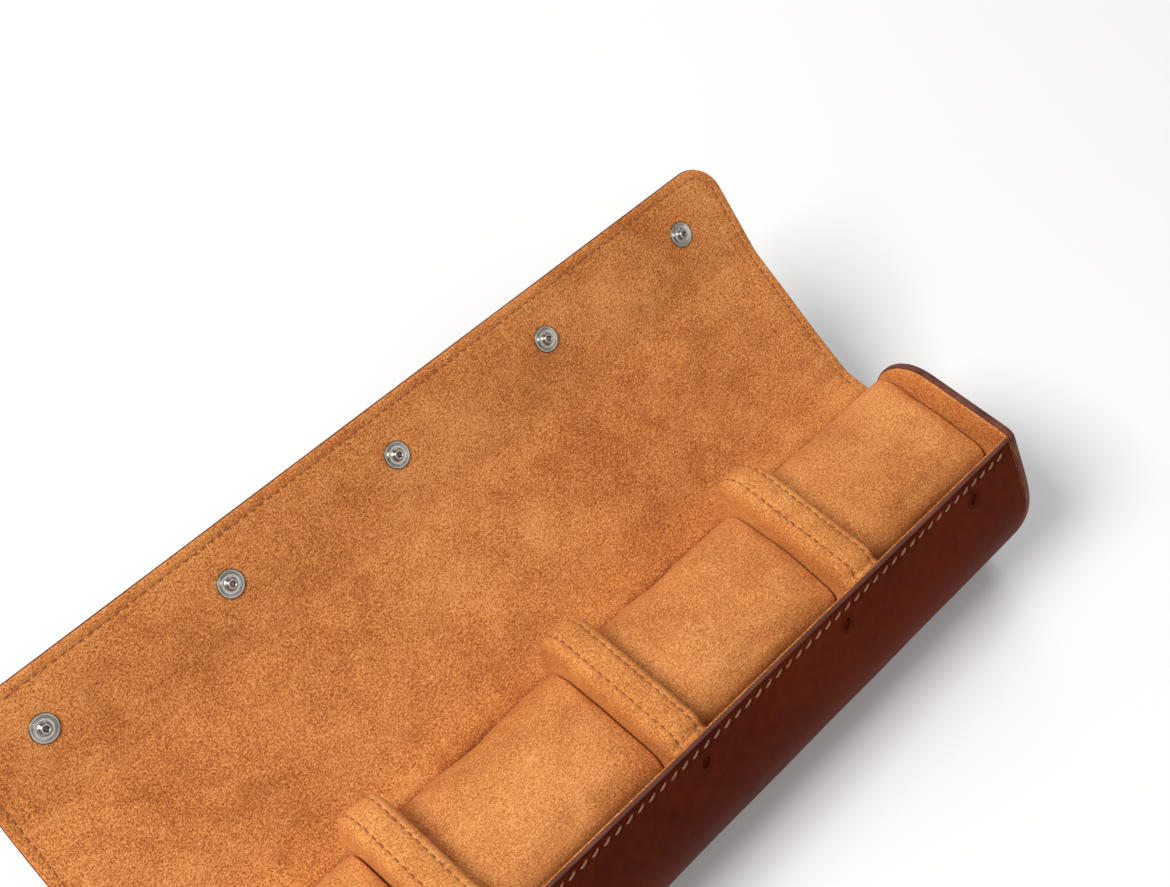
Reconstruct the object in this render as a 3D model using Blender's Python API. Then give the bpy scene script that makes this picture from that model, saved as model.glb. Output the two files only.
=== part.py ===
"""Case with four padded bays, a folding flap and snap studs. Metres, +Z up, resting face at Z = 0."""
import math

import bmesh
import bpy
from mathutils import Matrix, Vector

MM = 0.001

# ---- driving dimensions, in millimetres -------------------------------------------------------
HALF_BODY = 168.0          # half length of the case over its end walls
HALF_FLAP = 165.9          # half width of the flap
END_LEATHER = 1.2
END_BOARD = 1.4
END_LINING = 0.8
GAP = 0.2                  # air between layers that are glued or sewn in the real case
LEATHER = 1.2
LINING = 0.8
BOARD = 1.2

DIV_TOP = 68.0             # top of the dividers
DIV_BACK = 29.5            # back edge of the dividers
DIV_BACK_R = 19.0
DIV_PITCH = 87.0
DIV_HALF = 7.3             # half thickness of a divider
DIV_CORE_HALF = 2.4
DIV_CLEAR = 0.4

PIL_TOP = 57.5             # top of the cushions
PIL_BOTTOM = 5.2
PIL_FRONT = -22.6
PIL_BACK = 27.4
PIL_R_TOP = 12.0
PIL_R_BOTTOM = 15.0
PIL_WRAP = 1.0
PIL_SIDE = 0.7             # air between cushion and divider

SNAP_PITCH = 70.0
SNAPS = (-2, -1, 0, 1, 2)

FRONT_EDGE = (-25.9, 67.6) # outer top edge of the front wall
FRONT_LEAN = 28.0          # degrees that the front wall leans out at its top
BELLY = (-41.5, 33.0)
BASE_FRONT = -24.0
BASE_BACK = 25.0
BACK_BELLY = (36.6, 20.0)
HINGE = (32.3, 40.3)       # flap hinge line, on the outside of the leather

FLAP_T = LEATHER + GAP + LINING
FLAP_BEND = (42.1, 42.5)   # first bend of the open flap, on the lining
FLAP_CREASE = (91.7, 71.0) # crease of the open flap, on the lining
FLAP_TIP_DEG = 43.4        # slope of the free panel
FLAP_TIP = 40.3            # crease to free edge
SNAP_FROM_CREASE = 22.3
D1, D2, D3 = 16.86, 32.70, 78.84   # fold lines, as distances along the lining from the hinge
TIP_CORNER_R = 13.0
PANEL_GAP = 0.35

CAP_R = 6.2
STUD_R = 4.3
STUD_BALL_R = 1.75
SOCKET_R = 4.0
SNAP_HOLE_R = 2.3
SOCKET_BELOW = 9.2         # socket centre below the front wall's edge, along the wall


# ---- clean start ------------------------------------------------------------------------------
for ob in list(bpy.data.objects):
    bpy.data.objects.remove(ob, do_unlink=True)


def material(name, rgb, rough, metal=0.0):
    m = bpy.data.materials.new(name)
    m.use_nodes = True
    b = m.node_tree.nodes["Principled BSDF"]
    b.inputs["Base Color"].default_value = (*rgb, 1)
    b.inputs["Roughness"].default_value = rough
    b.inputs["Metallic"].default_value = metal
    m.diffuse_color = (*rgb, 1)
    return m


def add(name, bm, rgb, rough, metal=0.0, smooth=None):
    bmesh.ops.remove_doubles(bm, verts=bm.verts, dist=1e-6)
    bmesh.ops.recalc_face_normals(bm, faces=bm.faces)
    me = bpy.data.meshes.new(name)
    bm.to_mesh(me)
    bm.free()
    ob = bpy.data.objects.new(name, me)
    bpy.context.scene.collection.objects.link(ob)
    me.materials.append(material(name, rgb, rough, metal))
    if smooth is not None:
        for p in me.polygons:
            p.use_smooth = True
        me.set_sharp_from_angle(angle=math.radians(smooth))
    return ob


def set_origin(ob, at):
    """Puts an object's origin at a point given in millimetres, and leaves its shape where it is."""
    v = Vector(at) * MM
    ob.data.transform(Matrix.Translation(-v))
    ob.location = v


# ---- plane curves, as lists of (y, z) in millimetres --------------------------------------------
def bezier(p0, p1, p2, p3, n):
    out = []
    for i in range(n + 1):
        t = i / n
        a, b, c, d = (1 - t) ** 3, 3 * t * (1 - t) ** 2, 3 * t * t * (1 - t), t ** 3
        out.append((a * p0[0] + b * p1[0] + c * p2[0] + d * p3[0], a * p0[1] + b * p1[1] + c * p2[1] + d * p3[1]))
    return out


def arc(centre, r, a0, a1, n):
    return [(centre[0] + r * math.cos(math.radians(a0 + (a1 - a0) * i / n)), centre[1] + r * math.sin(math.radians(a0 + (a1 - a0) * i / n))) for i in range(n + 1)]


def lengths(pts):
    out = [0.0]
    for a, b in zip(pts, pts[1:]):
        out.append(out[-1] + math.dist(a, b))
    return out


def normals(pts):
    """Left-hand normals of an open path: to the inside of the case on the body's path."""
    out = []
    for i in range(len(pts)):
        a, b = pts[max(i - 1, 0)], pts[min(i + 1, len(pts) - 1)]
        dy, dz = b[0] - a[0], b[1] - a[1]
        n = math.hypot(dy, dz)
        out.append((-dz / n, dy / n))
    return out


def offset(pts, d):
    """The path moved to its left by d, a number or a list of one number per point."""
    ns = normals(pts)
    return [(p[0] + n[0] * (d[i] if isinstance(d, list) else d), p[1] + n[1] * (d[i] if isinstance(d, list) else d)) for i, (p, n) in enumerate(zip(pts, ns))]


def cut(pts, s0, s1):
    """The stretch of a path between two distances along it."""
    ls = lengths(pts)
    s1 = min(s1, ls[-1])
    out = []
    for i in range(len(pts) - 1):
        a, b, la, lb = pts[i], pts[i + 1], ls[i], ls[i + 1]
        if lb <= s0 or la >= s1:
            continue
        for s in (max(s0, la), min(s1, lb)):
            t = (s - la) / (lb - la)
            p = (a[0] + (b[0] - a[0]) * t, a[1] + (b[1] - a[1]) * t)
            if not out or math.dist(out[-1], p) > 1e-4:
                out.append(p)
    return out


def ribbon(bm, one, other, x0, x1):
    """A bent sheet between two paths of equal point counts, from x0 to x1."""
    def row(x):
        return [(bm.verts.new((x * MM, a[0] * MM, a[1] * MM)), bm.verts.new((x * MM, b[0] * MM, b[1] * MM))) for a, b in zip(one, other)]
    r0, r1 = row(x0), row(x1)
    for i in range(len(one) - 1):
        bm.faces.new((r0[i][0], r0[i + 1][0], r1[i + 1][0], r1[i][0]))
        bm.faces.new((r0[i][1], r1[i][1], r1[i + 1][1], r0[i + 1][1]))
        bm.faces.new((r0[i][0], r0[i][1], r0[i + 1][1], r0[i + 1][0]))
        bm.faces.new((r1[i][0], r1[i + 1][0], r1[i + 1][1], r1[i][1]))
    bm.faces.new((r0[0][0], r1[0][0], r1[0][1], r0[0][1]))
    bm.faces.new((r0[-1][0], r0[-1][1], r1[-1][1], r1[-1][0]))


def prism(bm, poly, x0, x1):
    """A closed outline in the YZ plane, from x0 to x1."""
    a = [bm.verts.new((x0 * MM, y * MM, z * MM)) for y, z in poly]
    b = [bm.verts.new((x1 * MM, y * MM, z * MM)) for y, z in poly]
    bm.faces.new(a)
    bm.faces.new(list(reversed(b)))
    for i in range(len(poly)):
        j = (i + 1) % len(poly)
        bm.faces.new((a[i], b[i], b[j], a[j]))


def tube(bm, outer, inner, x0, x1):
    """A closed sleeve along X between two outlines of equal point counts."""
    rows = []
    for x in (x0, x1):
        rows.append([(bm.verts.new((x * MM, a[0] * MM, a[1] * MM)), bm.verts.new((x * MM, b[0] * MM, b[1] * MM))) for a, b in zip(outer, inner)])
    n = len(outer)
    for i in range(n):
        j = (i + 1) % n
        bm.faces.new((rows[0][i][0], rows[0][j][0], rows[1][j][0], rows[1][i][0]))
        bm.faces.new((rows[0][i][1], rows[1][i][1], rows[1][j][1], rows[0][j][1]))
        bm.faces.new((rows[0][i][0], rows[0][i][1], rows[0][j][1], rows[0][j][0]))
        bm.faces.new((rows[1][i][0], rows[1][j][0], rows[1][j][1], rows[1][i][1]))


def lathe(bm, profile, frame, n=16):
    """Turns a closed (radius, height) outline about the local Z of a 4x4 frame."""
    cols = []
    for k in range(n):
        a = 2 * math.pi * k / n
        cols.append([None if r < 1e-9 else bm.verts.new(frame @ Vector((r * math.cos(a) * MM, r * math.sin(a) * MM, h * MM))) for r, h in profile])
    poles = [bm.verts.new(frame @ Vector((0, 0, h * MM))) if r < 1e-9 else None for r, h in profile]
    m = len(profile)
    closed = poles[0] is None or poles[-1] is None
    for k in range(n):
        q = (k + 1) % n
        for i in range(m if closed else m - 1):
            j = (i + 1) % m
            quad = [poles[i] or cols[k][i], poles[j] or cols[k][j], poles[j] or cols[q][j], poles[i] or cols[q][i]]
            loop = []
            for v in quad:
                if v not in loop:
                    loop.append(v)
            if len(loop) > 2:
                bm.faces.new(loop)


def frame_at(x, y, z, ny, nz):
    """A frame at a point whose local Z is (0, ny, nz)."""
    zc = Vector((0, ny, nz)).normalized()
    xc = Vector((1, 0, 0))
    yc = zc.cross(xc)
    m = Matrix((xc, yc, zc)).transposed().to_4x4()
    m.translation = Vector((x * MM, y * MM, z * MM))
    return m


def drill(ob, frames, r, depth):
    """Round holes through a mesh, along each frame's local Z."""
    bm = bmesh.new()
    for f in frames:
        lathe(bm, [(0, -depth), (r, -depth), (r, depth), (0, depth)], f, 16)
    cutter = add(ob.name + "_cut", bm, (0.5, 0.5, 0.5), 0.5)
    mod = ob.modifiers.new("holes", "BOOLEAN")
    mod.operation = "DIFFERENCE"
    mod.solver = "EXACT"
    mod.object = cutter
    deps = bpy.context.evaluated_depsgraph_get()
    me = bpy.data.meshes.new_from_object(ob.evaluated_get(deps))
    ob.modifiers.clear()
    old = ob.data
    ob.data = me
    bpy.data.meshes.remove(old)
    bpy.data.objects.remove(cutter, do_unlink=True)


SUEDE = (0.52, 0.20, 0.07)
SUEDE_DARK = (0.44, 0.16, 0.05)
HIDE = (0.075, 0.020, 0.012)

# ---- the body's outline, from the front edge round the base to the hinge -----------------------
lean = math.radians(FRONT_LEAN)
down = (-math.sin(lean), -math.cos(lean))
body = bezier(FRONT_EDGE, (FRONT_EDGE[0] + 13 * down[0], FRONT_EDGE[1] + 13 * down[1]), (BELLY[0], BELLY[1] + 13), BELLY, 16)
body += bezier(BELLY, (BELLY[0], BELLY[1] - 19), (BASE_FRONT - 9.5, 0), (BASE_FRONT, 0), 14)[1:]
body += [(BASE_FRONT + (BASE_BACK - BASE_FRONT) * i / 4, 0) for i in range(1, 5)]
body += bezier((BASE_BACK, 0), (BASE_BACK + 7, 0), (BACK_BELLY[0], BACK_BELLY[1] - 11), BACK_BELLY, 10)[1:]
body += bezier(BACK_BELLY, (BACK_BELLY[0], BACK_BELLY[1] + 8), (HINGE[0] + 1.0, HINGE[1] - 8), HINGE, 8)[1:]
s_of = lengths(body)
TOTAL = s_of[-1]


def ease(t):
    t = min(max(t, 0.0), 1.0)
    return t * t * (3 - 2 * t)


def lining_depth(s):
    """How far inside the outer leather the lining's back lies: closer at both free edges."""
    thin, full = LEATHER + GAP, LEATHER + BOARD + 2 * GAP
    a = ease((s - 3.5) / 3.0)
    b = ease((TOTAL - 3.0 - s) / 4.0)
    return thin + (full - thin) * min(a, b)


deep = [lining_depth(s) for s in s_of]
leather_in = offset(body, LEATHER)
lining_out = offset(body, deep)
lining_in = offset(body, [d + LINING for d in deep])

INNER_X = HALF_BODY - END_LEATHER - END_BOARD - END_LINING - 3 * GAP   # inside face of the end walls, less a gap
bm = bmesh.new()
ribbon(bm, body, leather_in, -INNER_X, INNER_X)
body_leather = add("body_leather", bm, HIDE, 0.4, smooth=40)
bm = bmesh.new()
ribbon(bm, lining_out, lining_in, -INNER_X, INNER_X)
add("body_lining", bm, SUEDE, 0.95, smooth=40)

# stiffeners between leather and lining: front wall, base, back wall
front_s = s_of[16 + 14]
base_s = s_of[16 + 14 + 4]
for name, s0, s1 in (("board_front", 15.0, front_s - 1.5), ("board_base", front_s + 0.5, base_s - 0.5), ("board_back", base_s + 1.5, TOTAL - 8.5)):
    mid = cut(body, s0, s1)
    bm = bmesh.new()
    ribbon(bm, offset(mid, LEATHER + GAP), offset(mid, LEATHER + GAP + BOARD), -INNER_X + 2, INNER_X - 2)
    add(name, bm, (0.30, 0.26, 0.20), 0.9, smooth=40)

# ---- end walls -----------------------------------------------------------------------------------
inner = offset(body, [d + LINING + DIV_CLEAR for d in deep])


def walled(path, top_front, front_r=3.0):
    """A bay-filling outline: the given trough path, closed over the top with round corners."""
    keep = [p for p in path if p[1] < HINGE[1] - 1.6 or p[0] < 0]
    top = arc((DIV_BACK - DIV_BACK_R, DIV_TOP - DIV_BACK_R), DIV_BACK_R, 0, 90, 10)
    corner = arc((top_front + front_r, DIV_TOP - front_r), front_r, 90, 150, 5)
    return keep + [(DIV_BACK, HINGE[1] + 0.8)] + top + corner


trough = [p for p in body if p[1] < HINGE[1] - 0.8 or p[0] < 0]
end_outline = walled(trough, FRONT_EDGE[0] + 0.9, 1.2)
x = INNER_X + GAP
for layer, t, rgb, rough in (("lining", END_LINING, SUEDE, 0.95), ("board", END_BOARD, (0.30, 0.26, 0.20), 0.9), ("leather", END_LEATHER, HIDE, 0.4)):
    for side, sign in (("left", -1), ("right", 1)):
        bm = bmesh.new()
        prism(bm, end_outline, sign * x, sign * (x + t))
        add(f"end_{layer}_{side}", bm, rgb, rough, smooth=40)
    x += t + GAP

# ---- dividers: a padded suede cover over a stiff core --------------------------------------------
div_outline = walled(inner, -22.9)


def inset(poly, d):
    """A closed outline moved inwards by d (outline runs anticlockwise seen from +X)."""
    n = len(poly)
    out = []
    for i in range(n):
        a, b = poly[i - 1], poly[(i + 1) % n]
        dy, dz = b[0] - a[0], b[1] - a[1]
        m = math.hypot(dy, dz)
        out.append((poly[i][0] - dz / m * d, poly[i][1] + dy / m * d))
    return out


core_outline = [(y, max(z, 6.2)) for y, z in inset(div_outline, 4.5)]
slot = inset(div_outline, 4.2)
slot = [(y, z - 14 if z < 14 else z) for y, z in slot]
for k, name in ((-1, "left"), (0, "middle"), (1, "right")):
    c = k * DIV_PITCH
    bm = bmesh.new()
    prism(bm, div_outline, c - DIV_HALF, c + DIV_HALF)
    cover = add(f"divider_cover_{name}", bm, SUEDE, 0.95)
    bev = cover.modifiers.new("pad", "BEVEL")
    bev.width = 2.6 * MM
    bev.segments = 4
    bev.limit_method = "ANGLE"
    bev.angle_limit = math.radians(60)
    deps = bpy.context.evaluated_depsgraph_get()
    me = bpy.data.meshes.new_from_object(cover.evaluated_get(deps))
    cover.modifiers.clear()
    cover.data = me
    bm = bmesh.new()
    zs = [p[1] for p in core_outline]
    ys = [p[0] for p in core_outline]
    # core: a plain board with rounded top corners, standing in a slot that is open below
    y0, y1, zt = -24.5, 24.6, DIV_TOP - 4.5
    core = [(y0 + 6, 5.0), (y1 - 4, 5.0)] + arc((y1 - 15, zt - 15), 15, 0, 90, 8) + arc((-16.5, zt - 3), 3, 90, 160, 4)
    prism(bm, core, c - DIV_CORE_HALF, c + DIV_CORE_HALF)
    add(f"divider_core_{name}", bm, (0.30, 0.26, 0.20), 0.9)
    bm = bmesh.new()
    hole = [(y0 + 6 - 0.3, -5.0), (y1 - 4 + 0.3, -5.0), (y1 - 4 + 0.3, 5.0)] + arc((y1 - 15, zt - 15), 15.3, 0, 90, 8) + arc((-16.5, zt - 3), 3.3, 90, 160, 4) + [(y0 + 6 - 0.3, 5.0)]
    prism(bm, hole, c - DIV_CORE_HALF - 0.3, c + DIV_CORE_HALF + 0.3)
    cutter = add("slot_cut", bm, (0.5, 0.5, 0.5), 0.5)
    mod = cover.modifiers.new("slot", "BOOLEAN")
    mod.operation = "DIFFERENCE"
    mod.solver = "EXACT"
    mod.object = cutter
    deps = bpy.context.evaluated_depsgraph_get()
    me = bpy.data.meshes.new_from_object(cover.evaluated_get(deps))
    cover.modifiers.clear()
    cover.data = me
    bpy.data.objects.remove(cutter, do_unlink=True)
    for p in me.polygons:
        p.use_smooth = True
    me.set_sharp_from_angle(angle=math.radians(40))


# ---- cushions: foam core, suede sleeve and two sewn ends ---------------------------------------
def cushion_outline(d):
    """Round-cornered outline of a cushion, moved inwards by d."""
    f, b, lo, hi = PIL_FRONT + d, PIL_BACK - d, PIL_BOTTOM + d, PIL_TOP - d
    rt, rb = PIL_R_TOP - d, PIL_R_BOTTOM - d
    crown = 1.6
    pts = arc((b - rb, lo + rb), rb, -90, 0, 7) + arc((b - rt, hi - rt), rt, 0, 90, 7)
    for i in range(1, 6):
        t = i / 6
        pts.append((b - rt + (f + rt - b + rt) * t, hi + crown * math.sin(math.pi * t)))
    pts += arc((f + rt, hi - rt), rt, 90, 180, 7) + arc((f + rb, lo + rb), rb, 180, 270, 7)
    out = []
    for p in pts:
        if not out or math.dist(out[-1], p) > 1e-3:
            out.append(p)
    return out


bays = [(-INNER_X - GAP, -DIV_PITCH - DIV_HALF), (-DIV_PITCH + DIV_HALF, -DIV_HALF), (DIV_HALF, DIV_PITCH - DIV_HALF), (DIV_PITCH + DIV_HALF, INNER_X + GAP)]
for i, (xa, xb) in enumerate(bays, 1):
    xa, xb = xa + PIL_SIDE, xb - PIL_SIDE
    made = []
    bm = bmesh.new()
    tube(bm, cushion_outline(0), cushion_outline(PIL_WRAP), xa + 1.3, xb - 1.3)
    made.append(add(f"cushion_{i}_sleeve", bm, SUEDE, 0.95, smooth=40))
    bm = bmesh.new()
    prism(bm, cushion_outline(PIL_WRAP + 0.3), xa + 1.3, xb - 1.3)
    made.append(add(f"cushion_{i}_foam", bm, (0.75, 0.70, 0.55), 0.95, smooth=40))
    for side, a, b in (("left", xa, xa + 1.0), ("right", xb - 1.0, xb)):
        bm = bmesh.new()
        prism(bm, cushion_outline(0.5), a, b)
        made.append(add(f"cushion_{i}_end_{side}", bm, SUEDE_DARK, 0.95, smooth=40))
    for ob in made:
        set_origin(ob, ((xa + xb) / 2, (PIL_FRONT + PIL_BACK) / 2, PIL_BOTTOM))

# ---- flap: four leather panels, each with its lining ------------------------------------------------
tip = math.radians(FLAP_TIP_DEG)
FREE_EDGE = (FLAP_CREASE[0] + FLAP_TIP * math.cos(tip), FLAP_CREASE[1] + FLAP_TIP * math.sin(tip))
flap = [(HINGE[0], FLAP_BEND[1]), FLAP_BEND, FLAP_CREASE, FREE_EDGE]
flap_len = lengths(flap)[-1]


def mitred(pts, d):
    """An open path moved to its right by d, with mitred corners: from lining to leather."""
    out = []
    for i, p in enumerate(pts):
        dirs = []
        for a, b in ((i - 1, i), (i, i + 1)):
            if a >= 0 and b < len(pts):
                n = math.dist(pts[a], pts[b])
                dirs.append(((pts[b][0] - pts[a][0]) / n, (pts[b][1] - pts[a][1]) / n))
        ny = sum(v[1] for v in dirs)
        nz = -sum(v[0] for v in dirs)
        n = math.hypot(ny, nz)
        ny, nz = ny / n, nz / n
        k = d / (ny * dirs[0][1] - nz * dirs[0][0])
        out.append((p[0] + ny * k, p[1] + nz * k))
    return out


def snap_frames(y, z, ny, nz):
    return [frame_at(k * SNAP_PITCH, y, z, ny, nz) for k in SNAPS]


def fold_line(s):
    y, z = cut(flap, s, flap_len)[0]
    return (0, y, z)


for name, s0, s1, pivot in (
    ("back", 0.2, D1 - PANEL_GAP / 2, (0, *HINGE)),
    ("corner", D1 + PANEL_GAP / 2, D2 - PANEL_GAP / 2, fold_line(D1)),
    ("top", D2 + PANEL_GAP / 2, D3 - PANEL_GAP / 2, fold_line(D2)),
):
    mid = cut(flap, s0, s1)
    for layer, near, far, rgb, rough in (("lining", 0.0, LINING, SUEDE, 0.95), ("leather", LINING + GAP, FLAP_T, HIDE, 0.4)):
        bm = bmesh.new()
        ribbon(bm, mitred(mid, near), mitred(mid, far), -HALF_FLAP, HALF_FLAP)
        set_origin(add(f"flap_{layer}_{name}", bm, rgb, rough), pivot)

# free panel, with round corners and snap holes
fold = cut(flap, D3, flap_len)[0]
u = (math.cos(tip), math.sin(tip))          # along the panel, to its free edge
out_n = (math.sin(tip), -math.cos(tip))     # from lining to leather
length = math.dist(fold, FREE_EDGE)


def panel_point(x, s, d):
    return Vector((x * MM, (fold[0] + u[0] * s + out_n[0] * d) * MM, (fold[1] + u[1] * s + out_n[1] * d) * MM))


r = TIP_CORNER_R
outline = [(-HALF_FLAP, PANEL_GAP / 2), (HALF_FLAP, PANEL_GAP / 2)]
outline += [(HALF_FLAP - r + r * math.cos(math.radians(a)), length - r + r * math.sin(math.radians(a))) for a in range(0, 91, 9)]
outline += [(-HALF_FLAP + r - r * math.sin(math.radians(a)), length - r + r * math.cos(math.radians(a))) for a in range(0, 91, 9)]
snap_s = SNAP_FROM_CREASE - (D3 - lengths(flap)[2])
snap_at = (fold[0] + u[0] * snap_s, fold[1] + u[1] * snap_s)
for layer, near, far, rgb, rough in (("lining", 0.0, LINING, SUEDE, 0.95), ("leather", LINING + GAP, FLAP_T, HIDE, 0.4)):
    bm = bmesh.new()
    a = [bm.verts.new(panel_point(px, ps, near)) for px, ps in outline]
    b = [bm.verts.new(panel_point(px, ps, far)) for px, ps in outline]
    bm.faces.new(a)
    bm.faces.new(list(reversed(b)))
    for i in range(len(outline)):
        j = (i + 1) % len(outline)
        bm.faces.new((a[i], b[i], b[j], a[j]))
    ob = add(f"flap_{layer}_front", bm, rgb, rough)
    drill(ob, snap_frames(*snap_at, -out_n[0], -out_n[1]), SNAP_HOLE_R, 8)
    set_origin(ob, fold_line(D3))

NICKEL = (0.62, 0.60, 0.57)
DARK = (0.05, 0.035, 0.03)
NAMES = ("far_left", "left", "middle", "right", "far_right")
# caps: domes on the leather, with a hollow rivet through both layers; local Z points to the lining side
# studs: flange, neck and dimpled ball on the lining
h0 = -FLAP_T - 0.3
CAP = [(0, h0 - 1.3), (2.4, h0 - 1.22), (4.4, h0 - 0.95), (5.6, h0 - 0.5), (CAP_R, h0 - 0.1), (CAP_R - 0.2, h0), (1.9, h0), (1.9, 0.2), (1.2, 0.2), (1.2, h0 - 0.5), (0, h0 - 0.5)]
STUD = [(0, 0.4), (1.9, 0.4), (2.2, 0.25), (STUD_R - 0.3, 0.25), (STUD_R, 0.42), (STUD_R - 0.15, 0.62), (3.5, 0.75), (2.5, 0.68), (1.75, 0.78), (1.5, 1.0), (1.5, 1.55), (STUD_BALL_R, 1.8), (STUD_BALL_R, 2.15), (1.45, 2.5), (1.0, 2.6), (0.6, 2.4), (0, 2.25)]
for kind, profile in (("cap", CAP), ("stud", STUD)):
    for side, f in zip(NAMES, snap_frames(*snap_at, -out_n[0], -out_n[1])):
        bm = bmesh.new()
        lathe(bm, profile, f)
        set_origin(add(f"snap_{kind}_{side}", bm, NICKEL, 0.25, 1.0, smooth=40), fold_line(D3))

# ---- sockets in the front wall -------------------------------------------------------------------
front_path = cut(body, 0, 30)
here = cut(body, 0, SOCKET_BELOW)[-1]
nxt = cut(body, 0, SOCKET_BELOW + 1)[-1]
d = math.dist(here, nxt)
t = ((nxt[0] - here[0]) / d, (nxt[1] - here[1]) / d)
wall_out = (t[1], -t[0])                    # outward normal of the front wall
frames = snap_frames(*here, *wall_out)
drill(body_leather, frames, SNAP_HOLE_R, 3)
# each socket is one eyelet: a flange outside, a neck through the leather and a flange behind it
SOCKET = [(1.95, 0.66), (2.3, 0.7), (SOCKET_R - 0.4, 0.62), (SOCKET_R, 0.42), (SOCKET_R - 0.2, 0.25), (2.15, 0.25), (2.15, -LEATHER - 0.3), (3.2, -LEATHER - 0.3), (3.2, -LEATHER - 0.7), (1.95, -LEATHER - 0.7)]
for side, f in zip(NAMES, frames):
    bm = bmesh.new()
    lathe(bm, SOCKET, f)
    add(f"snap_socket_{side}", bm, DARK, 0.4, 1.0, smooth=40)
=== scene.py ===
"""Looks of the padded roll case: suede, leather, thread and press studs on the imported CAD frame."""
import math

import bpy
import numpy as np
from mathutils import Matrix, Vector, noise


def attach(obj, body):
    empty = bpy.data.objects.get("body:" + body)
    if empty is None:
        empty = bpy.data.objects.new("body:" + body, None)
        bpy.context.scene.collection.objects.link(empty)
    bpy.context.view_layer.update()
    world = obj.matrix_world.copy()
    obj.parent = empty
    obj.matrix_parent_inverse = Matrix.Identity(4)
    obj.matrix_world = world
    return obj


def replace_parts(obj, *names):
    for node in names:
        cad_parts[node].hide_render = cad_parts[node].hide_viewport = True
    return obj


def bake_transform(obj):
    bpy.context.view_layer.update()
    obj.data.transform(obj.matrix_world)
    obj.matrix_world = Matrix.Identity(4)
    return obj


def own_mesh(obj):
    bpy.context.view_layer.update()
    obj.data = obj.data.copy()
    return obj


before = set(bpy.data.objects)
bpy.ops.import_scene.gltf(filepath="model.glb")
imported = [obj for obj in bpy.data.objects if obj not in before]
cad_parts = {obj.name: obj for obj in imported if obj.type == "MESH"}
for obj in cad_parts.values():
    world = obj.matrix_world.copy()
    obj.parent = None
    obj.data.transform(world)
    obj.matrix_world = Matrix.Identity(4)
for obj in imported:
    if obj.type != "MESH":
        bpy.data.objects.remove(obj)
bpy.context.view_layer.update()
MM = 0.001

# ---- driving dimensions, in millimetres, the same as the CAD part's ------------------------------
HALF_FLAP, INNER_X = 165.9, 164.0
DIV_TOP, DIV_BACK, DIV_BACK_R, DIV_PITCH, DIV_HALF = 68.0, 29.5, 19.0, 87.0, 7.3
PIL_TOP, PIL_BOTTOM, PIL_FRONT, PIL_BACK, PIL_R_TOP, PIL_R_BOTTOM, PIL_SIDE = 57.5, 5.2, -22.6, 27.4, 12.0, 15.0, 0.7
FRONT_EDGE, FRONT_LEAN, BELLY = (-25.9, 67.6), 28.0, (-41.5, 33.0)
BASE_FRONT, BASE_BACK, BACK_BELLY, HINGE = -24.0, 25.0, (36.6, 20.0), (32.3, 40.3)
FLAP_T, FLAP_BEND, FLAP_CREASE, FLAP_TIP_DEG, FLAP_TIP = 2.2, (42.1, 42.5), (91.7, 71.0), 43.4, 40.3
D1, D2, D3, SNAP_FROM_CREASE, TIP_CORNER_R = 16.86, 32.70, 78.84, 22.3, 13.0
SNAP_PITCH, SOCKET_BELOW = 70.0, 9.2
HINGE_SPLIT = 2.4          # the flap's first section starts this far below the hinge, along the wall
FLAP_STITCH, FLAP_PITCH = 3.6, 3.3
WALL_STITCH, WALL_PITCH = 3.7, 5.0
DIV_STITCH, DIV_PITCH_ST = 4.2, 3.3
SPRING_BACK, PRESSED = 36.4, 0.775     # back of a free divider, and its share of depth under the closed flap
SHOULDER = 2.9             # the soft cushions swell this far over the hinge behind them
LEATHER, LINING = 1.2, 0.8
SOLE = 1.37                # leather thickness at the painted front edge


# ---- materials -------------------------------------------------------------------------------------
def srgb(r, g, b):
    return tuple(((c / 255 + 0.055) / 1.055) ** 2.4 if c > 10 else c / 255 / 12.92 for c in (r, g, b)) + (1.0,)


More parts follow.
